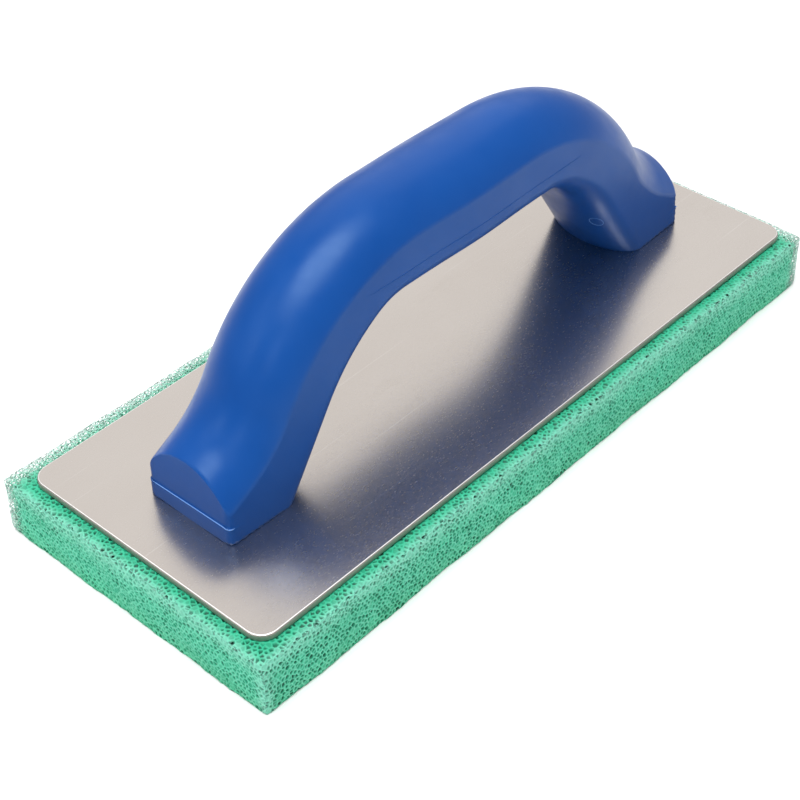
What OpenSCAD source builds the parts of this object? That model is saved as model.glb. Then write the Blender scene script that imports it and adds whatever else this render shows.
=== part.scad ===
// Grout float: a bridge handle screwed to an aluminium plate, which is bonded to a foam pad.
// X runs along the float, Y across it and Z up. The origin is the middle of the pad's bottom face.

/* [Foam pad] */
// Length of the pad
pad_l = 241.3; // [236:0.1:260]
// Width of the pad
pad_w = 101.6; // [96:0.1:120]
// Thickness of the pad
pad_h = 18.8; // [12:0.1:30]
// Thickness of the adhesive between the pad and the plate
film_h = 0.25; // [0.15:0.05:0.5]
// How far the adhesive stops short of the plate's edge
film_inset = 1.5; // [0.5:0.1:4]

/* [Backing plate] */
// Length of the plate
plate_l = 233; // [225:0.1:236]
// Width of the plate
plate_w = 90.7; // [80:0.1:96]
// Thickness of the plate
plate_t = 2; // [1.9:0.1:3]
// Radius of the plate's corners
plate_r = 5.5; // [2:0.1:12]
// How far the bonded plate and handle lie off the pad's centre along X
plate_off_x = 0.2; // [-1.5:0.1:1.5]
// How far they lie off the pad's centre along Y
plate_off_y = -1.1; // [-2:0.1:2]

/* [Handle] */
// Length over the two flat end faces
handle_l = 197; // [192:0.5:200]
// Width at the widest line of the sides
handle_w = 33; // [30:0.1:36]
// How much narrower each side is at the upper edge line than at the widest line
side_draft = 1; // [0.4:0.1:1.6]
// Extra width on each side in the middle of the grip
palm_swell = 0.7; // [0:0.1:1.5]
// Height of the domed top above the edge line
dome_h = 9.6; // [7:0.1:12]
// Height of the grip's edge line above the plate
edge_z = 59.5; // [58.6:0.1:61]
// Height of the edge line above the plate at the end faces
edge_end_z = 9.5; // [8.5:0.1:10.4]
// Half length of the straight middle of the edge line
edge_flat = 22; // [20.5:0.5:24]
// Radius of the edge line over the shoulder
shoulder_r = 61; // [58:0.5:63]
// Steepest slope of the edge line, on the legs
leg_slope = 59; // [57:0.5:59.5]
// Radius of the hollow where the edge line flares to the end face
flare_r = 40; // [34:0.5:41]
// Slope of the edge line where it meets the end face
flare_slope = 28.5; // [27:0.5:30]
// Height of the widest line above the plate, in the middle of the grip
side_z = 48; // [47:0.1:49]
// Half length of the straight middle of the widest line
side_flat = 30; // [28:0.5:32]
// Radius of the widest line under the shoulder
side_r = 25; // [22:0.5:28]
// Slope of the widest line where the shoulder turns into the leg
side_turn = 29.5; // [27:0.5:32]
// Radius of the widest line along the leg
leg_r = 57.5; // [54:0.5:60]
// Slope of the leg's inner side where it meets the plate
foot_slope = 57.5; // [56:0.5:59]
// Depth of the rounded underside below the widest line
under_h = 7.5; // [6:0.1:9]
// Radius of the upright corners of the end faces
corner_r = 4; // [2:0.1:6]

/* [Screws] */
// Diameter over the thread
thread_d = 3.5; // [3:0.05:3.8]
// Diameter of the countersunk head
head_d = 6.6; // [6.2:0.1:6.8]
// Length of a screw from the flat of its head to its tip
screw_l = 20; // [16:0.5:23]
// Distance of the inner screws from the middle of the handle
inner_screw_x = 76; // [75:0.5:78]
// Distance of the outer screws from the middle of the handle
outer_screw_x = 89; // [86:0.5:90]

/* [Hidden] */

plate_z = pad_h + film_h;           // underside of the plate
top_z = plate_z + plate_t;          // top of the plate, where the handle stands
screw_xs = [-outer_screw_x, -inner_screw_x, inner_screw_x, outer_screw_x];

head_slope = 41;                    // half of the 82 degree countersink
seat_gap = 0.06;                    // radial gap between a head and its countersink
hole_d = thread_d + 0.3;            // clearance hole through the plate
pilot_gap = 0.02;                   // radial gap between a thread and its hole in the handle
pilot_spare = 1.5;                  // depth of the hole past the screw's tip
head_h = (head_d - thread_d) / 2 / tan(head_slope);
tip_h = 3;                          // length of the pointed tip
tip_d = 0.8;                        // diameter of its blunt end
recess_l = 3.6;                     // length of each arm of the cross recess
recess_w = 0.8;                     // width of each arm
recess_h = 1.2;                     // depth of the recess

RINGS = 42;                         // rings from the middle of the handle to each foot
DOME = 14;                          // steps across the domed top
SIDE = 3;                           // steps down each side
UNDER = 14;                         // steps across the rounded underside
spare_out = 22;                     // how far the outer line runs past the end face before it is cut
spare_in = 15;                      // how far the inner line runs below the plate before it is cut
swell_reach = 18;                   // half length over which the palm swell fades
RAD = PI / 180;

// A line in the XZ plane: a flat, an arc, a straight and a second arc, then straight on.
// It is given as [half flat, height, radius 1, slope 1, straight, radius 2, slope 2].
// A negative radius 2 bends the line back up, which makes the hollow of the flare.
function arc_ends(w) = let (
        p1 = [w[0] + w[2] * sin(w[3]), w[1] - w[2] * (1 - cos(w[3]))],
        p2 = p1 + w[4] * [cos(w[3]), -sin(w[3])],
        p3 = p2 + w[5] * [sin(w[6]) - sin(w[3]), cos(w[6]) - cos(w[3])])
    [p1, p2, p3];
function lengths(w) = let (
        s1 = w[0],
        s2 = s1 + w[2] * w[3] * RAD,
        s3 = s2 + w[4])
    [s1, s2, s3, s3 + w[5] * (w[6] - w[3]) * RAD];

// [x, z, slope] of the point that lies a distance s along a line
function along(w, s) = let (p = arc_ends(w), l = lengths(w))
    s <= l[0] ? [s, w[1], 0] :
    s <= l[1] ? let (a = (s - l[0]) / w[2] / RAD) [w[0] + w[2] * sin(a), w[1] - w[2] * (1 - cos(a)), a] :
    s <= l[2] ? let (q = p[0] + (s - l[1]) * [cos(w[3]), -sin(w[3])]) [q.x, q.y, w[3]] :
    s <= l[3] ? let (a = w[3] + (s - l[2]) / w[5] / RAD,
                     q = p[1] + w[5] * [sin(a) - sin(w[3]), cos(a) - cos(w[3])]) [q.x, q.y, a] :
    let (q = p[2] + (s - l[3]) * [cos(w[6]), -sin(w[6])]) [q.x, q.y, w[6]];

// The straight stretch of the leg is as long as it takes to end at edge_end_z on the end face.
flare_dx = flare_r * (sin(leg_slope) - sin(flare_slope));
flare_dz = flare_r * (cos(flare_slope) - cos(leg_slope));
shoulder = [edge_flat + shoulder_r * sin(leg_slope), edge_z - shoulder_r * (1 - cos(leg_slope))];
leg_straight = (shoulder.y - flare_dz - edge_end_z - (handle_l / 2 - shoulder.x - flare_dx) * tan(flare_slope))
    / (sin(leg_slope) - cos(leg_slope) * tan(flare_slope));
edge_line = [edge_flat, edge_z, shoulder_r, leg_slope, leg_straight, -flare_r, flare_slope];
side_line = [side_flat, side_z, side_r, side_turn, 0, leg_r, foot_slope];

edge_end = arc_ends(edge_line)[2];
side_end = arc_ends(side_line)[2];
edge_s = lengths(edge_line)[3] + (handle_l / 2 - edge_end.x) / cos(flare_slope) + spare_out;
side_s = lengths(side_line)[3] + side_end.y / sin(foot_slope) + spare_in;

// One closed ring round the handle, t of the way from its middle to a foot, mirrored by dir.
function ring(t, dir) = let (
        e = along(edge_line, t * edge_s),
        w = along(side_line, t * side_s),
        swell = palm_swell * exp(-pow(e.x / swell_reach, 2)),
        half_e = handle_w / 2 - side_draft + swell,
        half_w = handle_w / 2 + swell,
        dome_r = (half_e * half_e + dome_h * dome_h) / (2 * dome_h),
        dome_a = asin(half_e / dome_r))
    concat(
        [for (i = [0 : DOME]) let (
                a = -dome_a + 2 * dome_a * i / DOME,
                up = dome_h - dome_r * (1 - cos(a)))
            [dir * (e.x + up * sin(e.z)), dome_r * sin(a), e.y + up * cos(e.z)]],
        [for (i = [1 : SIDE - 1]) let (k = i / SIDE)
            [dir * (e.x + (w.x - e.x) * k), half_e + (half_w - half_e) * k, e.y + (w.y - e.y) * k]],
        [for (i = [0 : UNDER]) let (
                a = 90 - 180 * i / UNDER,
                down = under_h * cos(a))
            [dir * (w.x - down * sin(w.z)), half_w * sin(a), w.y - down * cos(w.z)]],
        [for (i = [SIDE - 1 : -1 : 1]) let (k = i / SIDE)
            [dir * (e.x + (w.x - e.x) * k), -half_e - (half_w - half_e) * k, e.y + (w.y - e.y) * k]]);

function mean(points) = [for (p = points) 1 / len(points)] * points;

// A smooth body through the rings of both halves, closed by a fan at each end
module swept_body() {
    rings = concat([for (i = [RINGS : -1 : 1]) ring(i / RINGS, -1)],
                   [for (i = [0 : RINGS]) ring(i / RINGS, 1)]);
    n = len(rings[0]);
    last = len(rings) - 1;
    points = concat([for (r = rings) each r], [mean(rings[0]), mean(rings[last])]);
    skin = [for (j = [0 : last - 1]) for (i = [0 : n - 1])
        let (a = j * n + i, b = j * n + (i + 1) % n)
            each [[a, b, b + n], [a, b + n, a + n]]];
    front_cap = [for (i = [0 : n - 1]) [len(points) - 2, (i + 1) % n, i]];
    rear_cap = [for (i = [0 : n - 1]) [len(points) - 1, last * n + i, last * n + (i + 1) % n]];
    polyhedron(points, concat(skin, front_cap, rear_cap), convexity = 6);
}

module rounded_block(l, w, h, r) {
    linear_extrude(height = h) {
        square([l - 2 * r, w], center = true);
        square([l, w - 2 * r], center = true);
        for (x = [-1, 1], y = [-1, 1])
            translate([x * (l / 2 - r), y * (w / 2 - r)])
                circle(r = r, $fn = 48);
    }
}

module at_plate(z) {
    translate([plate_off_x, plate_off_y, z])
        children();
}

module foam_pad() {
    color("mediumseagreen")
        translate([-pad_l / 2, -pad_w / 2, 0])
            cube([pad_l, pad_w, pad_h]);
}

module adhesive_film() {
    color("khaki")
        at_plate(pad_h)
            rounded_block(plate_l - 2 * film_inset, plate_w - 2 * film_inset, film_h, plate_r);
}

module backing_plate() {
    sink_d = head_d + 2 * seat_gap;
    sink_h = (sink_d - hole_d) / 2 / tan(head_slope);
    color("lightgray")
        at_plate(plate_z)
            difference() {
                rounded_block(plate_l, plate_w, plate_t, plate_r);
                for (x = screw_xs)
                    translate([x, 0, 0]) {
                        translate([0, 0, -1])
                            cylinder(h = plate_t + 2, d = hole_d, $fn = 48);
                        cylinder(h = sink_h, d1 = sink_d, d2 = hole_d, $fn = 48);
                    }
            }
}

module handle() {
    cut_h = edge_z + dome_h + 10;
    pilot_h = screw_l - plate_t + pilot_spare;
    color("royalblue")
        at_plate(top_z)
            difference() {
                intersection() {
                    swept_body();
                    rounded_block(handle_l, handle_w + 2 * palm_swell, cut_h, corner_r);
                }
                for (x = screw_xs)
                    translate([x, 0, -1])
                        cylinder(h = pilot_h + 1, d = thread_d + 2 * pilot_gap, $fn = 48);
            }
}

module screw(x) {
    color("silver")
        at_plate(plate_z)
            translate([x, 0, 0])
                difference() {
                    rotate_extrude($fn = 48)
                        polygon([[0, 0], [head_d / 2, 0], [thread_d / 2, head_h],
                                 [thread_d / 2, screw_l - tip_h], [tip_d / 2, screw_l], [0, screw_l]]);
                    for (a = [0, 90])
                        rotate(a)
                            translate([-recess_l / 2, -recess_w / 2, -1])
                                cube([recess_l, recess_w, recess_h + 1]);
                }
}

module front_outer_screw() { screw(screw_xs[0]); }
module front_inner_screw() { screw(screw_xs[1]); }
module rear_inner_screw() { screw(screw_xs[2]); }
module rear_outer_screw() { screw(screw_xs[3]); }

foam_pad();
adhesive_film();
backing_plate();
handle();
front_outer_screw();
front_inner_screw();
rear_inner_screw();
rear_outer_screw();
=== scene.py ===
"""Looks of a grout float: moulded handle, aluminium plate, screws and open-cell foam pad.

Lengths are in millimetres until a mesh is made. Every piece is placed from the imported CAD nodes.
"""
import math

import bmesh
import bpy
import numpy as np
from mathutils import Matrix, Vector
from mathutils.bvhtree import BVHTree
from mathutils.geometry import delaunay_2d_cdt

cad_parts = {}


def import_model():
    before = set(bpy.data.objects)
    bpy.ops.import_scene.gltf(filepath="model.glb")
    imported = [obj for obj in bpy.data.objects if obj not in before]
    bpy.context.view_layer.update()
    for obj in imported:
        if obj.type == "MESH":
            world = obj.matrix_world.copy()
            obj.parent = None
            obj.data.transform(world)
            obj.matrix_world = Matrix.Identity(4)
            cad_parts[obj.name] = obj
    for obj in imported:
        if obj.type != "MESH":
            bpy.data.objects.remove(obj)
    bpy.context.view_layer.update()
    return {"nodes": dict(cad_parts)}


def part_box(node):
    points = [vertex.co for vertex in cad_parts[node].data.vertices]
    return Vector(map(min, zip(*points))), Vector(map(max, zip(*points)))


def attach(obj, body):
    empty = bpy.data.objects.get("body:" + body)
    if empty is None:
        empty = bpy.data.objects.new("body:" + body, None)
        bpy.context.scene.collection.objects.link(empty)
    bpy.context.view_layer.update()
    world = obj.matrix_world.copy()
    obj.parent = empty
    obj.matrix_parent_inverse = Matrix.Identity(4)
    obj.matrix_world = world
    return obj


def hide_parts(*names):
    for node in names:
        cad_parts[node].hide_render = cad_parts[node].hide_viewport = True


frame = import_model()
MM = 0.001
BODY = "root"


def node_box(node):
    """Lowest and highest corner of a CAD node, in millimetres."""
    low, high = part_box(node)
    return np.array(low) / MM, np.array(high) / MM


# ---------------------------------------------------------------- meshes

def to_mesh(name, points, *face_sets):
    """A mesh from points in millimetres and arrays of faces that each have one corner count."""
    mesh = bpy.data.meshes.new(name)
    mesh.vertices.add(len(points))
    mesh.vertices.foreach_set("co", (np.asarray(points) * MM).astype(np.float32).ravel())
    loops = np.concatenate([np.asarray(f).ravel() for f in face_sets]).astype(np.int32)
    sizes = np.concatenate([np.full(len(f), np.shape(f)[1]) for f in face_sets])
    mesh.loops.add(len(loops))
    mesh.loops.foreach_set("vertex_index", loops)
    mesh.polygons.add(len(sizes))
    starts = np.concatenate([[0], np.cumsum(sizes)[:-1]]).astype(np.int32)
    mesh.polygons.foreach_set("loop_start", starts)
    mesh.update(calc_edges=True)
    mesh.validate()
    return mesh


def piece(name, mesh, material, slot, *replaced, smooth=True):
    """Adds a finished piece, which rides on the body and stands for the CAD nodes that it replaces."""
    mesh.polygons.foreach_set("use_smooth", np.full(len(mesh.polygons), smooth))
    mesh.materials.append(material)
    made = bpy.data.objects.new(name, mesh)
    bpy.context.scene.collection.objects.link(made)
    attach(made, BODY)
    if replaced:
        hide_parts(*replaced)
    return made


def point_values(mesh, name, values):
    """Stores one number for each vertex, which a material reads by name."""
    layer = mesh.attributes.new(name, "FLOAT", "POINT")
    layer.data.foreach_set("value", np.asarray(values, dtype=np.float32))


def flat_uv(mesh, u, v):
    """A plain UV map from two coordinates for each vertex, scaled to fill the square."""
    corner = np.empty(len(mesh.loops), dtype=np.int32)
    mesh.loops.foreach_get("vertex_index", corner)
    both = np.stack([(w - w.min()) / np.ptp(w) for w in (u, v)], -1)[corner]
    layer = mesh.uv_layers.new(name="OFBake")
    layer.data.foreach_set("uv", both.astype(np.float32).ravel())


def grid_faces(rows, columns, closed=True):
    """Quads of a grid of rows by columns, where each row closes on itself."""
    last = columns if closed else columns - 1
    row, column = np.meshgrid(np.arange(rows - 1), np.arange(last), indexing="ij")
    right = (column + 1) % columns
    return np.stack([row * columns + column, row * columns + right,
                     (row + 1) * columns + right, (row + 1) * columns + column], -1).reshape(-1, 4)


def cut(target, cutter):
    """Takes the cutter object away from the target's mesh, and removes the cutter."""
    step = target.modifiers.new("cut", "BOOLEAN")
    step.operation, step.solver, step.object = "DIFFERENCE", "EXACT", cutter
    dg = bpy.context.evaluated_depsgraph_get()
    made = bpy.data.meshes.new_from_object(target.evaluated_get(dg))
    target.modifiers.clear()
    target.data = made
    bpy.data.objects.remove(cutter)


def loose(name, mesh):
    """An object for scratch use, such as a cutter."""
    made = bpy.data.objects.new(name, mesh)
    bpy.context.scene.collection.objects.link(made)
    return made


# ---------------------------------------------------------------- materials

class Nodes:
    """A short way to write a node material."""

    def __init__(self, name):
        self.material = bpy.data.materials.new(name)
        self.material.use_nodes = True
        self.tree = self.material.node_tree
        self.shader = self.tree.nodes["Principled BSDF"]
        self.place = self.add("ShaderNodeTexCoord").outputs["Object"]

    def add(self, kind, **inputs):
        node = self.tree.nodes.new(kind)
        for key, value in inputs.items():
            self.feed(node.inputs[key.replace("_", " ")], value)
        return node

    def feed(self, socket, value):
        if isinstance(value, bpy.types.NodeSocket):
            self.tree.links.new(value, socket)
        else:
            socket.default_value = value

    def set(self, **inputs):
        for key, value in inputs.items():
            self.feed(self.shader.inputs[key.replace("_", " ")], value)

    def stretched(self, x, y, z):
        node = self.add("ShaderNodeMapping", Vector=self.place)
        node.inputs["Scale"].default_value = (x, y, z)
        return node.outputs["Vector"]

    def noise(self, scale, detail=2.0, rough=0.5, vector=None):
        node = self.add("ShaderNodeTexNoise", Vector=vector or self.place,
                        Scale=scale, Detail=detail, Roughness=rough)
        return node.outputs["Fac"]

    def span(self, value, low, high, start=0.0, end=1.0):
        """Maps value from [start, end] to [low, high], held inside it."""
        node = self.add("ShaderNodeMapRange")
        for socket, number in zip(node.inputs[:5], (value, start, end, low, high)):
            self.feed(socket, number)
        return node.outputs["Result"]

    def math(self, operation, a, b):
        node = self.add("ShaderNodeMath")
        node.operation = operation
        self.feed(node.inputs[0], a)
        self.feed(node.inputs[1], b)
        return node.outputs[0]

    def ramp(self, value, *stops):
        """A colour ramp through (place, colour) stops."""
        node = self.add("ShaderNodeValToRGB", Fac=value)
        stones = node.color_ramp.elements
        while len(stones) < len(stops):
            stones.new(0.5)
        for stone, (place, colour) in zip(stones, stops):
            stone.position, stone.color = place, (*colour, 1)
        return node.outputs["Color"]

    def mix(self, amount, a, b, blend="MIX"):
        node = self.add("ShaderNodeMix")
        node.data_type, node.blend_type = "RGBA", blend
        for socket, value in zip((node.inputs[0], node.inputs[6], node.inputs[7]), (amount, a, b)):
            self.feed(socket, value if not isinstance(value, tuple) else (*value, 1))
        return node.outputs[2]

    def bump(self, height, strength, distance, under=None):
        node = self.add("ShaderNodeBump", Height=height, Strength=strength, Distance=distance)
        if under is not None:
            self.tree.links.new(under, node.inputs["Normal"])
        return node.outputs["Normal"]

    def value(self, name):
        node = self.add("ShaderNodeAttribute")
        node.attribute_name = name
        return node.outputs["Fac"]


def plastic():
    m = Nodes("moulded_blue_plastic")
    cloud = m.noise(28, 3)
    blue = m.ramp(cloud, (0.3, (0.003, 0.055, 0.262)), (0.7, (0.005, 0.066, 0.298)))
    # The beads of the mould's seam and witness ring turn pale blue: a painted highlight on them.
    m.set(Base_Color=m.mix(m.value("painted_bead_highlight"), blue, (0.16, 0.33, 0.72)),
          Roughness=m.span(m.noise(160, 4), 0.29, 0.38, 0.35, 0.65), Specular_IOR_Level=0.32,
          Specular_Tint=(0.55, 0.8, 1, 1))
    peel = m.bump(m.noise(420, 1), 0.04, 0.00006)
    m.set(Normal=m.bump(m.noise(45, 2), 0.2, 0.0004, peel))
    return m.material


def aluminium():
    m = Nodes("rolled_aluminium")
    grain = m.noise(2600, 3, 0.7, m.stretched(0.35, 1, 1))
    blotch = m.noise(14, 4, 0.6, m.stretched(0.6, 1, 1))
    stain = m.noise(75, 7, 0.7, m.stretched(0.45, 1, 1))
    scratch = m.noise(900, 2, 0.5, m.stretched(0.012, 1, 1))
    metal = m.ramp(blotch, (0.3, (0.53, 0.487, 0.455)), (0.7, (0.575, 0.535, 0.505)))
    metal = m.mix(m.span(stain, 0, 0.12, 0.55, 0.75), metal, (0.36, 0.32, 0.26))
    metal = m.mix(m.span(scratch, 0, 0.2, 0.68, 0.74), metal, (0.85, 0.84, 0.82))
    rough = m.math("ADD", m.span(grain, 0.21, 0.28, 0.3, 0.7), m.span(stain, 0, 0.02, 0.5, 0.8))
    rim, side_face = m.value("rim"), m.value("side_face")
    # The top corner's two outer rings turn near-white, a painted highlight; the side face turns a darker,
    # browner metal.
    metal = m.mix(side_face, m.mix(rim, metal, (0.95, 0.94, 0.92)), (0.4, 0.36, 0.33))
    m.set(Base_Color=metal, Metallic=1.0,
          Roughness=m.math("ADD", rough, m.math("MULTIPLY", m.math("MAXIMUM", rim, side_face), 0.3)))
    m.set(Normal=m.bump(grain, 0.05, 0.00003, m.bump(blotch, 0.08, 0.0006)))
    return m.material


def foam():
    m = Nodes("open_cell_green_foam")
    tone, edge = m.value("tone"), m.value("edge")
    # pale is painted light: a highlight along the fresh edges and light coming through the worn ones,
    # greyer in the worn lace.
    pale = m.mix(m.value("grey"), (0.36, 0.76, 0.64), (0.5, 0.67, 0.6))
    patch = m.noise(110, 4, 0.6)
    body = m.ramp(tone, (0.0, (0.0, 0.04, 0.025)), (0.35, (0.0, 0.22, 0.12)), (0.6, (0.01, 0.42, 0.23)),
                  (0.85, (0.06, 0.56, 0.34)), (1.0, (0.14, 0.68, 0.46)))
    body = m.mix(m.span(patch, 0, 0.3, 0.35, 0.7), body, (0.02, 0.38, 0.2))
    low = m.add("ShaderNodeSeparateXYZ", Vector=m.place).outputs["Z"]
    body = m.mix(m.span(low, 0.45, 0, 0, 0.007), body, (1.0, 0.93, 0.72), "MULTIPLY")
    m.set(Base_Color=m.mix(edge, body, pale), Roughness=0.6,
          Subsurface_Weight=m.math("MULTIPLY", edge, 0.7),
          Subsurface_Radius=(0.5, 1.0, 0.8), Subsurface_Scale=0.0006)
    m.set(Normal=m.bump(m.noise(2500, 2), 0.3, 0.0001))
    return m.material


def adhesive():
    m = Nodes("dried_contact_adhesive")
    m.set(Base_Color=m.ramp(m.noise(120, 5), (0.3, (0.34, 0.28, 0.14)), (0.7, (0.5, 0.43, 0.25))),
          Roughness=m.span(m.noise(300, 3), 0.45, 0.7))
    m.set(Normal=m.bump(m.noise(400, 4), 0.4, 0.0002))
    return m.material


def zinc():
    m = Nodes("zinc_plated_steel")
    m.set(Base_Color=m.ramp(m.noise(500, 4), (0.35, (0.5, 0.5, 0.47)), (0.65, (0.66, 0.66, 0.63))),
          Metallic=1.0, Roughness=m.span(m.noise(900, 3), 0.25, 0.42))
    m.set(Normal=m.bump(m.noise(1500, 3), 0.2, 0.00005))
    return m.material


# ---------------------------------------------------------------- handle

HANDLE_W = 33.0
SIDE_DRAFT = 1.0
PALM_SWELL = 0.7
SWELL_REACH = 18.0
DOME_H = 9.6
UNDER_H = 7.5
CORNER_R = 4.0
FLARE_SLOPE = math.radians(28.5)
EDGE_END_Z = 9.5
SEAM_Z = 5.45          # height of the mould's parting ledge in the middle of the end faces
SEAM_TILT = 0.018      # how much it rises for each millimetre towards the near side
SEAM_STEP = 0.35       # how far the foot stands out below it
SEAM_R = 0.14          # thickness of the thin fin of plastic that stands on the ledge
WITNESS_AT = (61.2, -10.8, 15.9)      # middle of the ring that an ejector pin left under the rear leg
WITNESS_OUT = (-0.79, -0.34, -0.5)    # the way the surface faces there
WITNESS_R, WITNESS_R_LINE = 2.3, 0.11
END_FILLET = 0.8       # reach of the rounding along the arched edge of an end face
FOOT_SINK = 0.08       # how far a foot is let into the plate, so that it meets it in a clean line
FOOT_LENGTH = 36.0     # along the plate
EDGE_FLAT, EDGE_Z, SHOULDER_R, FLARE_R = 22.0, 59.5, 61.0, 40.0   # the edge between dome and sides
LEG_SLOPE = math.radians(59)
SIDE_FLAT, SIDE_Z, SIDE_R = 30.0, 48.0, 25.0   # the lower edge of the sides
SIDE_TURN, FOOT_SLOPE = math.radians(29.5), math.radians(57.5)
LEG_R = 57.5
ROUND_STEPS = 45       # points across the dome and across the rounded underside
SIDE_STEPS = 14
SEAM_STEPS, CORNER_STEPS = 70, 24
SEAM_BEND = 0.6        # how far the flash runs up at its end, past the near corner
PARTING_Z, PARTING_REACH, PARTING_R = 50.5, 45.0, 0.09   # parting line along both sides of the grip


class Line:
    """A line in the XZ plane: a flat, an arc, a straight and a second arc, then straight on."""

    def __init__(self, flat, height, r1, a1, straight, r2, a2):
        self.flat, self.height, self.r1, self.a1, self.r2, self.a2 = flat, height, r1, a1, r2, a2
        p1 = np.array([flat + r1 * math.sin(a1), height - r1 * (1 - math.cos(a1))])
        p2 = p1 + straight * np.array([math.cos(a1), -math.sin(a1)])
        p3 = p2 + r2 * np.array([math.sin(a2) - math.sin(a1), math.cos(a2) - math.cos(a1)])
        self.ends = (p1, p2, p3)
        s2 = flat + r1 * a1
        self.stops = (flat, s2, s2 + straight, s2 + straight + r2 * (a2 - a1))

    def at(self, s):
        """x, z and downward slope of the points that lie the distances s along the line."""
        p1, p2, p3 = self.ends
        s1, s2, s3, s4 = self.stops
        turn1 = np.clip((s - s1) / self.r1, 0, self.a1)
        turn2 = np.clip((s - s3) / self.r2 + self.a1, *sorted((self.a1, self.a2)))
        slope = np.where(s < s3, turn1, turn2)
        x = np.minimum(s, s1) + self.r1 * np.sin(turn1) + np.clip(s - s2, 0, s3 - s2) * math.cos(self.a1)
        x = x + self.r2 * (np.sin(turn2) - math.sin(self.a1)) + np.maximum(s - s4, 0) * math.cos(self.a2)
        z = self.height - self.r1 * (1 - np.cos(turn1)) - np.clip(s - s2, 0, s3 - s2) * math.sin(self.a1)
        z = z + self.r2 * (np.cos(turn2) - math.cos(self.a1)) - np.maximum(s - s4, 0) * math.sin(self.a2)
        return x, z, slope


def edge_line(half_length):
    """The edge between the domed top and the sides, which ends at EDGE_END_Z on the end face."""
    sine, cosine, flare = math.sin(LEG_SLOPE), math.cos(LEG_SLOPE), math.tan(FLARE_SLOPE)
    run = FLARE_R * (sine - math.sin(FLARE_SLOPE))
    drop = FLARE_R * (math.cos(FLARE_SLOPE) - cosine)
    left = half_length - EDGE_FLAT - SHOULDER_R * sine - run
    above = EDGE_Z - SHOULDER_R * (1 - cosine) - drop - EDGE_END_Z
    straight = (above - left * flare) / (sine - cosine * flare)
    return Line(EDGE_FLAT, EDGE_Z, SHOULDER_R, LEG_SLOPE, straight, -FLARE_R, FLARE_SLOPE)


def ease(distance, reach):
    """Like max(distance, 0), with the corner rounded over the reach."""
    middle = (distance + reach) ** 2 / (4 * reach)
    return np.where(distance > reach, distance, np.where(distance < -reach, 0, middle))


def handle_rings(half_length):
    """The rings of half the handle, from its middle to past its foot, as an array of rings by points."""
    edge = edge_line(half_length)
    side = Line(SIDE_FLAT, SIDE_Z, SIDE_R, SIDE_TURN, 0.0, LEG_R, FOOT_SLOPE)
    edge_s = edge.stops[3] + (half_length - edge.ends[2][0]) / math.cos(FLARE_SLOPE) + 22
    side_s = side.stops[3] + side.ends[2][1] / math.sin(FOOT_SLOPE) + 15
    t = np.concatenate([np.linspace(0, 0.8, 150, endpoint=False),
                        np.linspace(0.8, 1.06, 200, endpoint=False), np.linspace(1.06, 1.22, 50)])
    ex, ez, ea = (v[:, None] for v in edge.at(t * edge_s))
    wx, wz, wa = (v[:, None] for v in side.at(t * side_s))
    swell = PALM_SWELL * np.exp(-(ex / SWELL_REACH) ** 2)
    half_e = HANDLE_W / 2 - SIDE_DRAFT + swell
    half_w = HANDLE_W / 2 + swell
    dome_r = (half_e ** 2 + DOME_H ** 2) / (2 * DOME_H)
    dome_a = np.arcsin(half_e / dome_r)
    a = dome_a * np.linspace(-1, 1, ROUND_STEPS)
    up = DOME_H - dome_r * (1 - np.cos(a))
    dome = np.stack([ex + up * np.sin(ea), dome_r * np.sin(a), ez + up * np.cos(ea)], -1)
    k = np.linspace(0, 1, SIDE_STEPS)[1:-1]
    far = np.stack([ex + (wx - ex) * k, half_e + (half_w - half_e) * k, ez + (wz - ez) * k], -1)
    b = np.linspace(90, -90, ROUND_STEPS) * math.pi / 180
    down = UNDER_H * np.cos(b)
    under = np.stack([wx - down * np.sin(wa), half_w * np.sin(b), wz - down * np.cos(wa)], -1)
    near = far[:, ::-1] * np.array([1, -1, 1])
    return np.concatenate([dome, far, under, near], 1)


def seam_height(y):
    """The height of the mould's seam at that distance from the middle of an end face."""
    return SEAM_Z - SEAM_TILT * y


def shape_foot(p, half_length):
    """Squares the rings off at the end face and the plate, with rounded edges and the parting ledge."""
    x, y, z = p[..., 0], p[..., 1], p[..., 2]
    half_width = HANDLE_W / 2 + PALM_SWELL
    out = x - (half_length - CORNER_R)
    over = np.maximum(np.abs(y) - (half_width - CORNER_R), 0)
    reach = np.hypot(out, over)
    inside = np.where(out > 0, CORNER_R - reach, 1e3)
    ledge = SEAM_STEP / (1 + np.exp(np.clip((z - seam_height(y)) / 0.05, -30, 30)))
    pull = np.where(out > 0, (reach - CORNER_R + ease(inside, END_FILLET)) / np.maximum(reach, 1e-9), 0)
    pull = pull - np.where(out > 0, ledge * np.clip(1 - inside / 1.5, 0, 1) / np.maximum(reach, 1e-9), 0)
    tuck = np.clip(1 + 0.2 * (z + 4 * FOOT_SINK), 0.4, 1)
    heel = half_length - FOOT_LENGTH / 2
    return np.stack([heel + (x - out * pull - heel) * tuck, (y - np.sign(y) * over * pull) * tuck,
                     np.maximum(z, -FOOT_SINK)], -1)


def bead(path, out, radius, closed=False):
    """A thin raised line along the path, given the outward directions there: its points and quads."""
    along = np.roll(path, -1, 0) - np.roll(path, 1, 0) if closed else np.gradient(path, axis=0)
    across = np.cross(along, out)
    across /= np.linalg.norm(across, axis=1)[:, None]
    from_end = np.minimum(np.arange(len(path)), np.arange(len(path))[::-1])
    size = radius * (1 if closed else np.clip(from_end / 6, 0.05, 1)[:, None, None])
    turns = np.linspace(0, 2 * math.pi, 8, endpoint=False)[:, None]
    tube = path[:, None] + (out[:, None] * np.cos(turns) + across[:, None] * np.sin(turns)) * size
    if closed:
        tube = np.concatenate([tube, tube[:1]])
    return tube.reshape(-1, 3), grid_faces(len(tube), 8)


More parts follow.
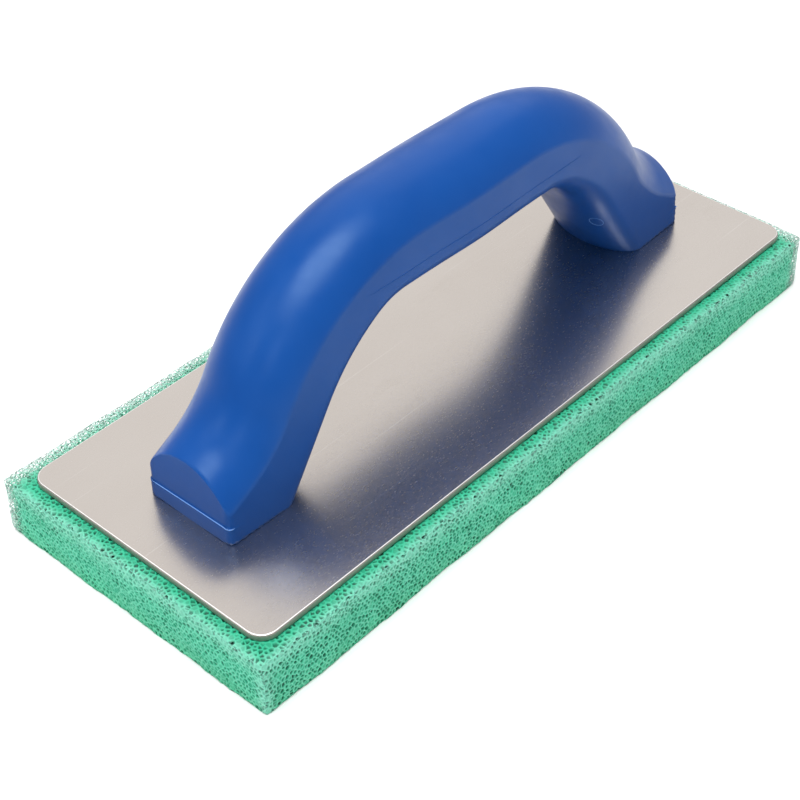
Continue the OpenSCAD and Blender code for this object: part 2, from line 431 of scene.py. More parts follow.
def seam(half_length, end):
    """The thin fin of plastic along the mould's seam, which crosses an end face and turns its near corner.
    """
    reach, bend = CORNER_R + SEAM_STEP - 0.05, HANDLE_W / 2 + PALM_SWELL - CORNER_R
    across = np.linspace(14.5, -bend, SEAM_STEPS)
    face = np.stack([np.full(SEAM_STEPS, half_length - CORNER_R + reach), across, seam_height(across)], -1)
    turn = np.radians(np.linspace(2, 50, CORNER_STEPS))
    part = np.linspace(0, 1, CORNER_STEPS)
    wave = SEAM_BEND * part ** 3 - 0.4 * np.sin(part * math.pi)
    corner = np.stack([half_length - CORNER_R + reach * np.cos(turn), -bend - reach * np.sin(turn),
                       seam_height(-bend) + wave], -1)
    out = np.concatenate([np.tile([1.0, 0, 0], (SEAM_STEPS, 1)),
                          np.stack([np.cos(turn), -np.sin(turn), 0 * turn], -1)])
    flip = np.array([end, 1, 1])
    return bead(np.concatenate([face, corner]) * flip, out * flip, SEAM_R)


def laid(tree, path, radius, closed=False):
    """A bead along the path, moved onto the moulding's surface."""
    found = [tree.find_nearest(Vector(p)) for p in path]
    return bead(np.array([f[0] for f in found]), np.array([f[1] for f in found]), radius, closed)


def witness_mark(tree):
    """The ring that an ejector pin left under the rear leg."""
    turn = np.linspace(0, 2 * math.pi, 40, endpoint=False)[:, None]
    across = np.cross(WITNESS_OUT, (0, 0, 1))
    across /= np.linalg.norm(across)
    up = np.cross(WITNESS_OUT, across)
    ring = np.array(WITNESS_AT) + WITNESS_R * (np.cos(turn) * across + np.sin(turn) * up)
    return laid(tree, ring, WITNESS_R_LINE, closed=True)


def parting_line(tree, side):
    """The fine line that the mould's two halves left along one side of the grip."""
    x = np.linspace(-PARTING_REACH, PARTING_REACH, 120)
    y, z = np.full(120, side * HANDLE_W / 2), np.full(120, PARTING_Z)
    return laid(tree, np.stack([x, y, z], -1), PARTING_R)


def make_handle(material):
    """The moulded handle, with the fine lines that its mould left."""
    low, high = node_box("handle")
    half_length = (high[0] - low[0]) / 2
    middle = np.array([(low[0] + high[0]) / 2, (low[1] + high[1]) / 2, low[2]])
    rear = shape_foot(handle_rings(half_length), half_length)
    front = rear[:0:-1] * np.array([-1, 1, 1])
    rings = np.concatenate([front, rear])
    count = rings.shape[1]
    points = rings.reshape(-1, 3)
    skin = grid_faces(len(rings), count)[:, ::-1]
    ends = np.array([[*points[:count].mean(0)], [*points[-count:].mean(0)]])
    i = np.arange(count)
    last = len(points) - count
    caps = np.concatenate([
        np.stack([np.full(count, len(points)), i, (i + 1) % count], -1),
        np.stack([np.full(count, len(points) + 1), last + (i + 1) % count, last + i], -1)])
    points = np.concatenate([points, ends])
    tree = BVHTree.FromPolygons(points.tolist(), skin.tolist())
    moulded = len(points)
    quads = [skin]
    for tube, faces in (seam(half_length, -1), seam(half_length, 1), witness_mark(tree),
                        parting_line(tree, -1), parting_line(tree, 1)):
        quads.append(faces + len(points))
        points = np.concatenate([points, tube])
    mesh = to_mesh("handle_moulding", points + middle, np.concatenate(quads), caps)
    # The seam and witness-ring beads are painted paler the lower they sit, as a painted highlight; the
    # parting lines high on the grip get none.
    pale = np.interp(points[:, 2], [10, 20, 30, 40], [1.0, 0.4, 0.4, 0.0])
    point_values(mesh, "painted_bead_highlight", pale * (np.arange(len(points)) >= moulded))
    return piece("handle_moulding", mesh, material, "handle", "handle")


# ---------------------------------------------------------------- plate

PLATE_R = 5.5
HOLE_TOP_D = 3.8
HOLE_SINK_D = 6.72
SINK_SLOPE = math.radians(41)
SCREW_XS = (-89.0, -76.0, 76.0, 89.0)
TOP_ROUND, BOTTOM_ROUND = 0.45, 0.25   # rounding of the plate's edges
RIM = 0.5              # inset of the ring that ends the rounded top corner, which carries a painted highlight
SHARP = math.radians(40)


def outline(length, width, radius, steps=14):
    """A rectangle with round corners, anticlockwise."""
    corners = []
    for turn, (sx, sy) in enumerate([(1, 1), (-1, 1), (-1, -1), (1, -1)]):
        a = math.pi / 2 * (turn + np.linspace(0, 1, steps))
        corners.append(np.stack([sx * (length / 2 - radius) + radius * np.cos(a),
                                 sy * (width / 2 - radius) + radius * np.sin(a)], -1))
    return np.concatenate(corners)


def turned(profile, steps=40):
    """A closed solid of revolution about Z from (radius, z) points that start and end on the axis."""
    a = np.linspace(0, 2 * math.pi, steps, endpoint=False)
    rings = [np.stack([r * np.cos(a), r * np.sin(a), np.full(steps, z)], -1) for r, z in profile[1:-1]]
    points = np.concatenate([*rings, [[0, 0, profile[0][1]], [0, 0, profile[-1][1]]]])
    i = np.arange(steps)
    bottom, top = len(points) - 2, len(points) - 1
    last = (len(rings) - 1) * steps
    caps = np.concatenate([np.stack([np.full(steps, bottom), (i + 1) % steps, i], -1),
                           np.stack([np.full(steps, top), last + i, last + (i + 1) % steps], -1)])
    return points, grid_faces(len(rings), steps), caps


def plate_rings(size, thick):
    """The plate's outlines from its bottom face round its edge to its top face."""
    rounds = [(1 - math.sin(a), 1 - math.cos(a)) for a in np.linspace(0, math.pi / 2, 6)]
    steps = [(BOTTOM_ROUND * inset, BOTTOM_ROUND * rise) for inset, rise in rounds]
    steps += [(TOP_ROUND * inset, thick - TOP_ROUND * rise) for inset, rise in rounds[::-1]]
    rings = []
    for inset, z in [*steps, (RIM, thick)]:
        flat = outline(size[0] - 2 * inset, size[1] - 2 * inset, PLATE_R - inset)
        rings.append(np.column_stack([flat, np.full(len(flat), z)]))
    return rings


def hole_profile(thick):
    """A countersunk hole with its wide end down, a little longer than the plate is thick."""
    flare = math.tan(SINK_SLOPE)
    sink = (HOLE_SINK_D - HOLE_TOP_D) / 2 / flare
    return [(0, -1), (HOLE_SINK_D / 2 + flare, -1), (HOLE_TOP_D / 2, sink),
            (HOLE_TOP_D / 2, thick + 1), (0, thick + 1)]


def make_plate(material):
    """The aluminium sheet, with a highlight painted along its rounded top corner, a darker, browner side
    face and countersunk holes.
    """
    low, high = node_box("backing_plate")
    thick = high[2] - low[2]
    rings = plate_rings(high - low, thick)
    count, last = len(rings[0]), len(rings) - 1
    points = np.concatenate(rings)
    caps = np.stack([np.arange(count)[::-1], np.arange(count) + last * count])
    place = np.array([*(low + high)[:2] / 2, low[2]])
    mesh = to_mesh("plate_sheet", points + place, grid_faces(len(rings), count), caps)
    ring = np.arange(len(rings))
    # The two outer rings of the rounded top corner carry the painted highlight.
    point_values(mesh, "rim", np.repeat(np.isin(ring, [last - 2, last - 1]), count))
    # The side face is given a darker, browner and rougher metal.
    point_values(mesh, "side_face", np.repeat((ring > 3) & (ring < last - 3), count))
    plate = piece("plate_sheet", mesh, material, "plate", "backing_plate")
    for x in SCREW_XS:
        solid, sides, ends = turned(hole_profile(thick))
        cut(plate, loose("cutter", to_mesh("cutter", solid + place + np.array([x, 0, 0]), sides, ends)))
    plate.data.polygons.foreach_set("use_smooth", np.ones(len(plate.data.polygons), dtype=bool))
    plate.data.set_sharp_from_angle(angle=SHARP)
    return plate


# ---------------------------------------------------------------- screws

THREAD_D = 3.5
THREAD_ROOT_D = 2.5
THREAD_PITCH = 1.4
HEAD_D = 6.6
TIP_H = 3.0
HEAD_EDGE = 0.12       # height of the head's straight rim
NECK = 1.2             # plain length between head and thread
RECESS_REACH, RECESS_DEPTH = 1.8, 1.7


def thread_profile(turns):
    """0 at the root and 1 at the crest of a sharp, widely spaced thread."""
    phase = turns % 1.0
    return np.clip(1 - np.abs(phase - 0.5) / 0.22, 0, 1)


def screw_radius(z, length, turn):
    """The distance from the screw's axis at the heights z, for each direction in turn."""
    head = (HEAD_D - THREAD_D) / 2 / math.tan(SINK_SLOPE)
    neck, tip, root = head + NECK, length - TIP_H, THREAD_ROOT_D / 2
    core = np.interp(z, [0, HEAD_EDGE, head, neck, tip, length],
                     [HEAD_D / 2 - 0.1, HEAD_D / 2, root + 0.4, root, root, 0.1])
    crest = np.interp(z, [0, neck, neck + 1, tip, length], [0, 0, 1, 1, 0]) * (THREAD_D / 2 - root)
    return core[:, None] + crest[:, None] * thread_profile(z[:, None] / THREAD_PITCH - turn / (2 * math.pi))


def recess_wing(turn):
    """One of the two tapered wings of a cross recess: its points and quads."""
    wide, deep = RECESS_REACH, RECESS_DEPTH
    wing = np.array([[-wide, -0.45, -0.5], [wide, -0.45, -0.5], [wide, 0.45, -0.5], [-wide, 0.45, -0.5],
                     [-0.6, -0.3, deep], [0.6, -0.3, deep], [0.6, 0.3, deep], [-0.6, 0.3, deep]])
    if turn:
        wing = wing[:, [1, 0, 2]] * np.array([-1, 1, 1])
    sides = [[0, 1, 5, 4], [1, 2, 6, 5], [2, 3, 7, 6], [3, 0, 4, 7]]
    return wing, np.array([[3, 2, 1, 0], [4, 5, 6, 7], *sides])


def make_screw(name, material):
    """A countersunk wood screw with its head down, a real thread and a cross recess."""
    low, high = node_box(name)
    centre = np.array([*(low + high)[:2] / 2, low[2]])
    length = high[2] - low[2]
    head = (HEAD_D - THREAD_D) / 2 / math.tan(SINK_SLOPE)
    steps = 36
    a = np.linspace(0, 2 * math.pi, steps, endpoint=False)
    z = np.concatenate([[0.0, HEAD_EDGE, head], np.linspace(head + NECK, length, 260)])
    r = screw_radius(z, length, a)
    up = np.broadcast_to(z[:, None], r.shape)
    points = np.stack([r * np.cos(a), r * np.sin(a), up], -1).reshape(-1, 3)
    i, last = np.arange(steps), len(points) - steps
    bottom, top = np.full(steps, len(points)), np.full(steps, len(points) + 1)
    points = np.concatenate([points, [[0, 0, 0], [0, 0, length]]])
    caps = np.concatenate([np.stack([bottom, (i + 1) % steps, i], -1),
                           np.stack([top, last + i, last + (i + 1) % steps], -1)])
    mesh = to_mesh(name + "_thread", points + centre, grid_faces(len(z), steps), caps)
    screw = piece(name + "_thread", mesh, material, "screws", name)
    for turn in (0, 1):
        wing, quads = recess_wing(turn)
        cut(screw, loose("recess", to_mesh("recess", wing + centre, quads)))
    return screw


# ---------------------------------------------------------------- foam pad

PORE = 1.45            # spacing of the pores that show
PORE_BELOW = 1.55      # spacing of the pores on the working face
CELL = 1.9             # size of the cells inside the pad's see-through edges
LACE = 4.2             # weighed depth of the see-through network along the worn edges
CORE_DEPTH = 1.5       # depth of the solid middle below the pad's faces
STRUT_R = 0.06         # usual radius of a strut
WORN = 0.72            # weight of a depth below a worn edge
OPEN_WITHIN = 0.7      # the cells of the faces are closed again this much before the lace ends
FRAY = 0.5             # how far in from a worn edge any cell may be missing
BLIND = 0.25           # share of the pores that are closed by a film
FRESH_EDGE_HIGHLIGHT = 0.45            # how strong the highlight painted along the fresh edges is
HIGHLIGHT_REACH_TOP, HIGHLIGHT_REACH_SIDE = 2.0, 5.5   # how far that painted highlight reaches
PALE, PALE_REACH = 0.95, 3.3   # how pale the worn edges are painted as light comes through them, and how far
GREY_REACH = 4.0       # how far the worn edges are grey
UPRIGHT = 1.6          # weight of a depth below a fresh upright edge
EDGE_R = 1.0           # rounding of the pad's edges
FOOT_EDGE_R = 0.35     # the same along the bottom
TUCK = 2.5             # how far the pored top reaches in under the plate
TORN = 0.15            # share of the open cells that are missing along the worn edges
JITTER = 0.42          # how irregular the pores are
EDGE_SEED = 0.03       # no pore has its middle nearer than this to its face's border
CORE_TONE = 0.7
SEED = 7


def wander(p):
    """A slow, irregular offset for points of the pad, so that its cut faces aren't dead flat."""
    x, y, z = (p[..., i] for i in range(3))
    a = np.sin(x * 0.21 + y * 0.13 + 1.0) + np.sin(x * 0.083 - y * 0.19 + z * 0.3 + 2.3)
    b = np.sin(y * 0.24 - z * 0.21 + 0.4) + np.sin(x * 0.11 + y * 0.07 - z * 0.4 + 4.1)
    c = np.sin(x * 0.17 + 3.0) + np.sin(y * 0.31 + x * 0.05 + 1.7)
    foot = np.clip(1 - z / 4, 0, 1)
    fine = 0.13 * foot * np.sin(x * 0.83 + 1.1 * np.sin(y * 0.6)) * np.sin(y * 0.71 + x * 0.37)
    return np.stack([0.13 * b + fine, 0.15 * a + fine, 0.09 * c * np.clip(z / 8, 0, 1)], -1)


def settle(p, top):
    """Applies the offset, and keeps the pad between the floor and the plate."""
    q = p + wander(p)
    q[..., 2] = np.clip(q[..., 2], 0, top + 0.2)
    return q


def soften(p, box):
    """Rounds the edges of the pad, and keeps what lies below its faces below them."""
    low, high = box
    held = np.clip(p, low + [EDGE_R, EDGE_R, FOOT_EDGE_R], high - EDGE_R)
    out = p - held
    share = out / np.where(out[..., 2:] < 0, [[EDGE_R, EDGE_R, FOOT_EDGE_R]], EDGE_R)
    size = np.maximum(np.linalg.norm(share, axis=-1, keepdims=True), 1e-9)
    return held + out * np.abs(share).max(-1, keepdims=True) / size


def edge_gaps(p, box):
    """How deep a point lies below the pad's fresh edges and below its worn, see-through edges.

    Both are the sum of the distances to an edge's two faces, for the nearest edge of the kind.
    """
    low, high = box
    near, front, far, rear = p[:, 1] - low[1], p[:, 0] - low[0], high[1] - p[:, 1], high[0] - p[:, 0]
    top = high[2] - p[:, 2]
    fresh = [(near, top), (front, top), (front * UPRIGHT, near * UPRIGHT)]
    worn = [(far, top), (rear, top), (front, far), (rear, near), (rear, far)]
    ragged = 0.35 * np.sin(p[:, 0] * 1.7 + p[:, 2]) * np.sin(p[:, 1] * 1.3 + p[:, 2] * 0.9 + 0.5)
    gaps = [np.stack([np.maximum(a, 0) + np.maximum(b, 0) for a, b in kind], -1) for kind in (fresh, worn)]
    return gaps[0].min(1) + ragged, WORN * gaps[1].min(1) + ragged


def whiteness(p, box, reach=HIGHLIGHT_REACH_SIDE):
    """How much a point of the pad pales: a painted highlight along its fresh edges, and painted light that
    comes through its worn edges.
    """
    fresh, worn = (np.maximum(gap, 0) for gap in edge_gaps(p, box))
    return np.maximum(FRESH_EDGE_HIGHLIGHT * np.exp(-(fresh / reach) ** 2), PALE * np.exp(-(worn / PALE_REACH) ** 2))


def greyness(p, box):
    """How grey a point is, where the foam is worn to a thin lace."""
    return np.exp(-(np.maximum(edge_gaps(p, box)[1], 0) / GREY_REACH) ** 2)


def is_worn(p, box, depth):
    """True for the points less than that depth below a worn edge."""
    return edge_gaps(p, box)[1] < depth


def circumcentres(triangles):
    """The point that is as far from each of a triangle's three corners, for many triangles."""
    a, b, c = triangles[:, 0], triangles[:, 1] - triangles[:, 0], triangles[:, 2] - triangles[:, 0]
    bb, cc = (b ** 2).sum(1), (c ** 2).sum(1)
    cross = 2 * (b[:, 0] * c[:, 1] - b[:, 1] * c[:, 0])
    return a + np.stack([c[:, 1] * bb - b[:, 1] * cc, b[:, 0] * cc - c[:, 0] * bb], -1) / cross[:, None]


def pore_seeds(size, pitch, rng):
    """Irregular points over a rectangle, mirrored about its borders so that the pores end on them."""
    rows, columns = int(size[1] / pitch / 0.866) + 5, int(size[0] / pitch) + 5
    j, i = np.meshgrid(np.arange(rows), np.arange(columns), indexing="ij")
    seeds = np.stack([(i + j % 2 / 2 - 2) * pitch, (j - 2) * 0.866 * pitch], -1).reshape(-1, 2)
    seeds = seeds + rng.uniform(-JITTER, JITTER, seeds.shape) * pitch
    seeds = seeds[((seeds > EDGE_SEED) & (seeds < size - EDGE_SEED)).all(1)]
    for side, edge in ((0, 0), (0, size[0]), (1, 0), (1, size[1])):
        mirrored = seeds[np.abs(seeds[:, side] - edge) < 3 * pitch]
        mirrored[:, side] = 2 * edge - mirrored[:, side]
        seeds = np.concatenate([seeds, mirrored])
    return seeds


def bubbles(size, pitch, rng, wanted):
    """Irregular cells over a rectangle, as on a foam's cut face.

    Gives the middles of the cells and their corner points, then for each corner of each cell the
    number of its cell, the number of its corner point, and the place of the cell's next corner.
    """
    size = np.array(size)
    seeds = pore_seeds(size, pitch, rng)
    seeds = seeds[wanted(seeds, 3 * pitch)]
    found = delaunay_2d_cdt([Vector(seed) for seed in seeds], [], [], 0, 1e-7)
    seeds, triangles = np.array([tuple(v) for v in found[0]]), np.array(found[2])
    points = circumcentres(seeds[triangles])
    cell, corner = triangles.ravel(), np.repeat(np.arange(len(triangles)), 3)
    used = wanted(seeds, 0)[cell]
    cell, corner = cell[used], corner[used]
    turn = np.arctan2(*(points[corner] - seeds[cell]).T[::-1])
    order = np.lexsort((turn, cell))
    cell = np.unique(cell[order], return_inverse=True)[1]
    points_used, corner = np.unique(corner[order], return_inverse=True)
    starts = np.concatenate([[0], np.flatnonzero(np.diff(cell)) + 1])
    after = np.arange(len(cell)) + 1
    after[np.concatenate([starts[1:], [len(cell)]]) - 1] = starts
    points = np.clip(points[points_used], 0, size)
    share = 1 / np.bincount(cell)
    middles = np.stack([np.bincount(cell, points[corner, k]) * share for k in (0, 1)], -1)
    return middles, points, cell, corner, after


def rounded_spokes(middles, points, cell, corner):
    """From each cell's middle to its corners, evened out so that the pores are rounder than the cells."""
    spoke = points[corner] - middles[cell]
    reach = np.linalg.norm(spoke, axis=1)
    usual = (np.bincount(cell, reach) / np.bincount(cell))[cell]
    return spoke * (0.6 + 0.4 * usual / np.maximum(reach, 0.1))[:, None]


def pores(cells, size, is_open, rng):
    """The pits and rims of a face: points with their depth below it, quads, triangles and tones.

    Each cell has a rim, a wall and, unless it is open, a pit in its middle.
    """
    middles, points, cell, corner, after = cells
    count, total = len(middles), len(points)
    spoke = rounded_spokes(middles, points, cell, corner)
    blind = ~is_open & (rng.random(count) < BLIND)
    depth = rng.uniform(0.7, 1.4, count) * np.where(blind, 0.2, 1)
    rim = rng.uniform(0, 0.12, total) * (np.minimum(points, size - points).min(1) > 1e-3)
    share = np.where(is_open, rng.uniform(0.8, 0.9, count), rng.uniform(0.45, 0.82, count))
    inner = middles[cell] + spoke * share[cell, None]
    wall = middles[cell] + spoke * (share * np.where(is_open, 0.97, 0.85))[cell, None]
    dip, sink = rng.uniform(0.06, 0.16, count), np.where(is_open, 0.3, depth * 0.8)
    local = np.concatenate([np.column_stack([points, rim]), np.column_stack([inner, dip[cell]]),
                            np.column_stack([wall, sink[cell]]), np.column_stack([middles, depth])])
    at_inner, at_wall = total + np.arange(len(cell)), total + len(cell) + np.arange(len(cell))
    band = np.stack([corner, corner[after], at_inner[after], at_inner], -1)
    walls = np.stack([at_inner, at_inner[after], at_wall[after], at_wall], -1)
    pits = np.stack([at_wall, at_wall[after], total + 2 * len(cell) + cell], -1)[~is_open[cell]]
    # Tones fall from the rims to the walls and pit floors: painted shade in the pits, lifted in open and
    # film-closed cells.
    lift = np.where(is_open | blind, 0.6, 0)
    tone = np.concatenate([rng.uniform(0.85, 1.0, total), rng.uniform(0.6, 0.85, count)[cell],
                           np.maximum(lift, rng.uniform(0.0, 0.25, count))[cell],
                           np.maximum(lift, rng.uniform(0.0, 0.1, count))])
    return local, np.concatenate([band, walls]), pits, tone


def foam_face(name, material, size, place, pitch, rng, shown, box, look):
    """One cut face of the pad, with a pit for each cell, and open cells next to the see-through edges.

    place is the face's corner, its two directions and its outward direction; shown says which points
    of the face are wanted; look is the tone of its rims and how pale it is.
    """
    origin, across, up, out = (np.array(v, float) for v in place)

    def world(flat):
        return origin + flat[:, :1] * across + flat[:, 1:2] * up

    def opened(flat):
        return is_worn(world(flat), box, LACE - OPEN_WITHIN) & (out[2] >= 0)

    def wanted(flat, more):
        lost = rng.uniform(0, FRAY, len(flat)) + LACE * (rng.random(len(flat)) < TORN)
        lost = lost * opened(np.clip(flat, 0, size))
        from_edge = np.minimum(flat, size - flat)
        sound = from_edge.min(1) > -more
        from_edge[:, 1] = from_edge[:, 1] if out[2] else (size - flat)[:, 1]
        return sound & (from_edge.min(1) > (-more if more else lost)) & shown(flat, more)

    cells = bubbles(size, pitch, rng, wanted)
    local, quads, pits, tone = pores(cells, size, opened(cells[0]), rng)
    solid = world(local) - local[:, 2:] * out
    mesh = to_mesh(name, settle(soften(solid, box), box[1][2]), quads, pits)
    point_values(mesh, "tone", tone * look[0])
    reach = HIGHLIGHT_REACH_TOP if out[2] > 0 else HIGHLIGHT_REACH_SIDE
    point_values(mesh, "edge", np.maximum(whiteness(solid, box, reach), look[1] * tone))
    point_values(mesh, "grey", greyness(solid, box))
    flat_uv(mesh, local[:, 0], local[:, 1])
    return piece(name, mesh, material, "foam")


def warp(p):
    """Bends an even packing of cells, so that no row of it lines up with the pad's faces."""
    x, y, z = p.T
    return p + 0.9 * np.stack([np.sin(y * 0.61 + z * 0.33) + 0.6 * np.sin(z * 0.8 + 1),
                               np.sin(x * 0.57 + z * 0.41 + 2) + 0.6 * np.sin(x * 0.23 + 3),
                               np.sin(x * 0.49 + y * 0.52 + 4) + 0.6 * np.sin(y * 0.27 + 5)], -1)


def kelvin_struts(low, high, wanted):
    """The struts of a packing of fourteen-sided cells: their end points, and pairs of point numbers."""
    quarter = CELL / 4
    spans = [np.arange(math.floor(a / CELL) - 2, math.ceil(b / CELL) + 3) for a, b in zip(low, high)]
    grid = np.stack(np.meshgrid(*spans, indexing="ij"), -1).reshape(-1, 3) * 4
    centres = np.concatenate([grid, grid + 2])
    centres = centres[wanted(warp(centres * quarter), CELL)]
    corners = np.array(list(np.ndindex(5, 5, 5))) - 2
    corners = corners[(np.sort(np.abs(corners), 1) == [0, 1, 2]).all(1)]
    gap = ((corners[:, None] - corners[None]) ** 2).sum(-1)
    first, second = np.where(np.triu(gap == 2))
    ends = np.stack([centres[:, None] + corners[first], centres[:, None] + corners[second]], 2)
    keys, index = np.unique(ends.reshape(-1, 3), axis=0, return_inverse=True)
    pairs = np.unique(np.sort(index.reshape(-1, 2), 1), axis=0)
    return warp(keys * quarter), pairs


def struts(points, pairs, radius):
    """A three-sided bar along each pair of points."""
    a, b = points[pairs[:, 0]], points[pairs[:, 1]]
    along = (b - a) / np.linalg.norm(b - a, axis=1)[:, None]
    across = np.cross(along, np.where(np.abs(along[:, 2:]) < 0.9, [[0, 0, 1]], [[1, 0, 0]]))
    across /= np.linalg.norm(across, axis=1)[:, None]
    turns = (np.arange(3) * 2 * math.pi / 3)[:, None]
    rim = across[:, None] * np.cos(turns) + np.cross(along, across)[:, None] * np.sin(turns)
    rim = rim * radius[:, None, None]
    bars = np.stack([a[:, None] + rim, b[:, None] + rim], 1).reshape(-1, 3)
    base = np.arange(len(pairs))[:, None] * 6
    return bars, np.concatenate([base + [i, (i + 1) % 3, (i + 1) % 3 + 3, i + 3] for i in range(3)])


def foam_lace(material, box, rng):
    """The network of struts inside the pad's see-through edges, in a near and a far half."""
    low, high = box

    def wanted(p, more):
        inside = ((p > low - more) & (p < high + more)).all(-1)
        return inside & is_worn(p.reshape(-1, 3), box, LACE).reshape(inside.shape)

    points, pairs = kelvin_struts(low, high, wanted)
    points = points + rng.uniform(-0.13, 0.13, points.shape) * CELL
    pairs = pairs[((points[pairs].mean(1) > low) & (points[pairs].mean(1) < high)).all(-1)]
    points = np.clip(points, low + 0.05, high - 0.05)
    pairs = pairs[np.linalg.norm(points[pairs[:, 0]] - points[pairs[:, 1]], axis=1) > 0.1]
    radius = STRUT_R * rng.uniform(0.8, 1.3, len(pairs))
    tone = rng.uniform(0.6, 1.0, len(pairs))
    far = points[pairs].mean(1)[:, 1] > 0
    made = []
    for name, chosen in (("foam_lace_near", ~far), ("foam_lace_far", far)):
        bars, quads = struts(points, pairs[chosen], radius[chosen])
        mesh = to_mesh(name, settle(soften(bars, box), high[2]), quads)
        point_values(mesh, "tone", np.repeat(tone[chosen], 6))
        point_values(mesh, "edge", whiteness(bars, box))
        point_values(mesh, "grey", greyness(bars, box))
        flat_uv(mesh, bars[:, 0], bars[:, 1] + bars[:, 2])
        made.append(piece(name, mesh, material, "foam", smooth=False))
    return made


def slice_off(shell, at, out):
    """Cuts the mesh by the plane through at, and closes it again."""
    parts = shell.verts[:] + shell.edges[:] + shell.faces[:]
    made = bmesh.ops.bisect_plane(shell, geom=parts, plane_co=Vector(at), plane_no=Vector(out),
                                  clear_outer=True)
    edges = [e for e in made["geom_cut"] if isinstance(e, bmesh.types.BMEdge)]
    bmesh.ops.edgeloop_fill(shell, edges=edges)


def add_block(shell, low, high):
    """Adds a block between two corners to the mesh."""
    for v in bmesh.ops.create_cube(shell, size=1)["verts"]:
        v.co = Vector((low + high) / 2 + np.array(v.co) * (high - low))


def foam_core(material, box, film_box):
    """The solid middle of the pad, which closes the pits and reaches up to the adhesive."""
    low, high = box
    shell = bmesh.new()
    add_block(shell, low + CORE_DEPTH, high - CORE_DEPTH)
    for edge in ((0, 1, 1), (1, 0, 1), (-1, 1, 0), (1, -1, 0), (1, 1, 0)):
        corner = np.where(np.array(edge) > 0, high, low)
        slice_off(shell, corner - np.array(edge) * (LACE + 0.2) / WORN / 2, edge)
    bmesh.ops.triangulate(shell, faces=shell.faces[:])
    bmesh.ops.subdivide_edges(shell, edges=shell.edges[:], cuts=16, use_grid_fill=True)
    add_block(shell, np.array([*film_box[0][:2], low[2] + 3]), np.array([*film_box[1][:2], high[2]]))
    points = np.array([v.co for v in shell.verts])
    for v, p in zip(shell.verts, settle(points, high[2] - 0.2)):
        v.co = Vector(p * MM)
    mesh = bpy.data.meshes.new("foam_core")
    shell.to_mesh(mesh)
    shell.free()
    point_values(mesh, "tone", np.full(len(mesh.vertices), CORE_TONE))
    point_values(mesh, "edge", whiteness(points, box))
    point_values(mesh, "grey", greyness(points, box))
    return piece("foam_core", mesh, material, "foam", "foam_pad", smooth=False)


def make_foam(material):
    """The pad: its core, four sides, top and working face, and the lace of its worn edges."""
    low, high = box = node_box("foam_pad")
    long, wide, tall = high - low
    plate_low, plate_high = node_box("backing_plate")
    tuck_low, tuck_high = plate_low[:2] - low[:2] + TUCK, plate_high[:2] - low[:2] - TUCK
    rng = np.random.default_rng(SEED)
    core = foam_core(material, box, node_box("adhesive_film"))
    x, y, z = np.eye(3)

    def everywhere(flat, more):
        return np.ones(len(flat), dtype=bool)

    def beside_plate(flat, more):
        return ((flat < tuck_low + more) | (flat > tuck_high - more)).any(1)

    sides = (("near", long, low, x, -y),
             ("rear", wide, [high[0], low[1], low[2]], y, x),
             ("far", long, [high[0], high[1], low[2]], -x, y),
             ("front", wide, [low[0], high[1], low[2]], -y, -x))
    made = [foam_face("foam_side_" + name, material, (width, tall), (corner, across, z, out),
                      PORE, rng, everywhere, box, (1.0, 0.1)) for name, width, corner, across, out in sides]
    # The top strip beside the plate has its tones lowered to 0.75 and no paling: painted shade from the
    # plate over it.
    made.append(foam_face("foam_top", material, (long, wide), ([low[0], low[1], high[2]], x, y, z),
                          PORE, rng, beside_plate, box, (0.75, 0.0)))
    for number, name in enumerate(("front", "middle", "rear")):
        def third(flat, more, start=number * long / 3):
            return (flat[:, 0] > start - more) & (flat[:, 0] <= start + long / 3 + more)
        made.append(foam_face("foam_face_" + name, material, (long, wide),
                              ([low[0], high[1], low[2]], x, -y, -z),
                              PORE_BELOW, rng, third, box, (1.0, 0.1)))
    made += foam_lace(material, box, rng)
    return core


# ---------------------------------------------------------------- camera, floor and light

CAMERA_AT = (-0.3001, -0.2656, 0.3390)
CAMERA_YAW = 47.0      # degrees from +Y towards +X
CAMERA_DOWN = 40.33    # degrees below the horizon
CAMERA_ROLL = -1.14
CAMERA_LENS = 77.76    # on a 36 mm sensor


def make_camera():
    data = bpy.data.cameras.new("camera")
    data.sensor_width, data.lens = 36.0, CAMERA_LENS
    data.clip_start, data.clip_end = 0.01, 20
    made = bpy.data.objects.new("camera", data)
    bpy.context.scene.collection.objects.link(made)
    turn = (Matrix.Rotation(math.radians(-CAMERA_YAW), 4, "Z")
            @ Matrix.Rotation(math.radians(90 - CAMERA_DOWN), 4, "X")
            @ Matrix.Rotation(math.radians(CAMERA_ROLL), 4, "Z"))
    made.matrix_world = Matrix.Translation(CAMERA_AT) @ turn
    bpy.context.scene.camera = made


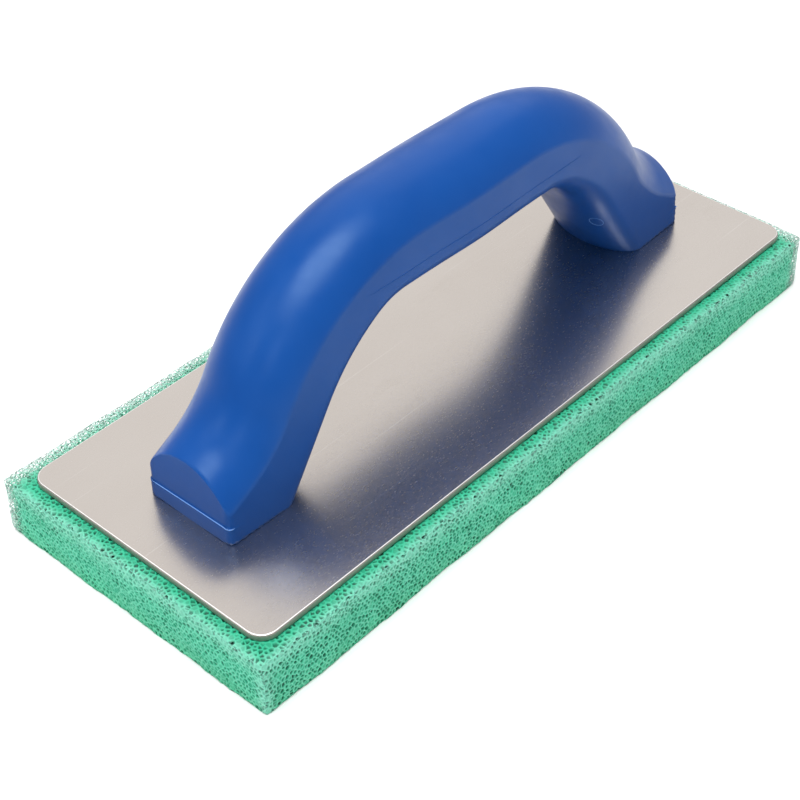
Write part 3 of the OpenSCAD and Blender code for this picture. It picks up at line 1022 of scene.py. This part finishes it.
def make_floor():
    m = Nodes("pale_floor")
    pale = m.ramp(m.noise(6, 2), (0.4, (0.93, 0.93, 0.93)), (0.6, (0.95, 0.95, 0.95)))
    m.set(Base_Color=pale, Roughness=0.8)
    size = 3000.0
    flat = np.array([[-size, -size, 0], [size, -size, 0], [size, size, 0], [-size, size, 0]])
    mesh = to_mesh("floor", flat, np.array([[0, 1, 2, 3]]))
    mesh.materials.append(m.material)
    loose("floor", mesh)


def area_light(name, at, aim, size, power, colour=(1, 1, 1)):
    data = bpy.data.lights.new(name, "AREA")
    data.shape, data.size, data.energy, data.color = "DISK", size, power, colour
    made = bpy.data.objects.new(name, data)
    bpy.context.scene.collection.objects.link(made)
    made.location = at
    made.rotation_euler = (Vector(aim) - Vector(at)).to_track_quat("-Z", "Y").to_euler()


def toward(azimuth, height, distance):
    """A place at that distance, azimuth (degrees from +Y towards +X) and height above the horizon."""
    a, h = math.radians(azimuth), math.radians(height)
    flat = distance * math.cos(h)
    return [flat * math.sin(a), flat * math.cos(a), distance * math.sin(h)]


def make_light():
    """A soft overhead light, a pale panel behind that the plate reflects, and weak lights at the left."""
    world = bpy.data.worlds.new("studio")
    bpy.context.scene.world = world
    world.use_nodes = True
    back = world.node_tree.nodes["Background"]
    back.inputs["Color"].default_value = (1, 1, 1, 1)
    back.inputs["Strength"].default_value = 0.42
    area_light("overhead", toward(-119, 76, 1.2), (0, 0, 0.03), 0.8, 14.6)
    area_light("back_panel", toward(44, 44, 1.8), (0, 0, 0.03), 2.0, 7.4, (1.0, 0.985, 0.965))
    area_light("left_fill", toward(-55, 42, 1.3), (-0.07, 0, 0.06), 0.6, 0.8)
    area_light("left_lamp_far", toward(-73, 35, 1.0), (-0.07, 0, 0.06), 0.06, 0.3)
    area_light("left_lamp_near", toward(-117, 34, 1.0), (-0.07, 0, 0.06), 0.06, 0.3)
    bpy.context.scene.view_settings.view_transform = "Standard"


make_camera()
make_floor()
make_light()
make_handle(plastic())
make_plate(aluminium())
metal = zinc()
for screw in ("front_outer_screw", "front_inner_screw", "rear_inner_screw", "rear_outer_screw"):
    make_screw(screw, metal)
make_foam(foam())
film = frame["nodes"]["adhesive_film"]
film.data.materials.clear()
film.data.materials.append(adhesive())
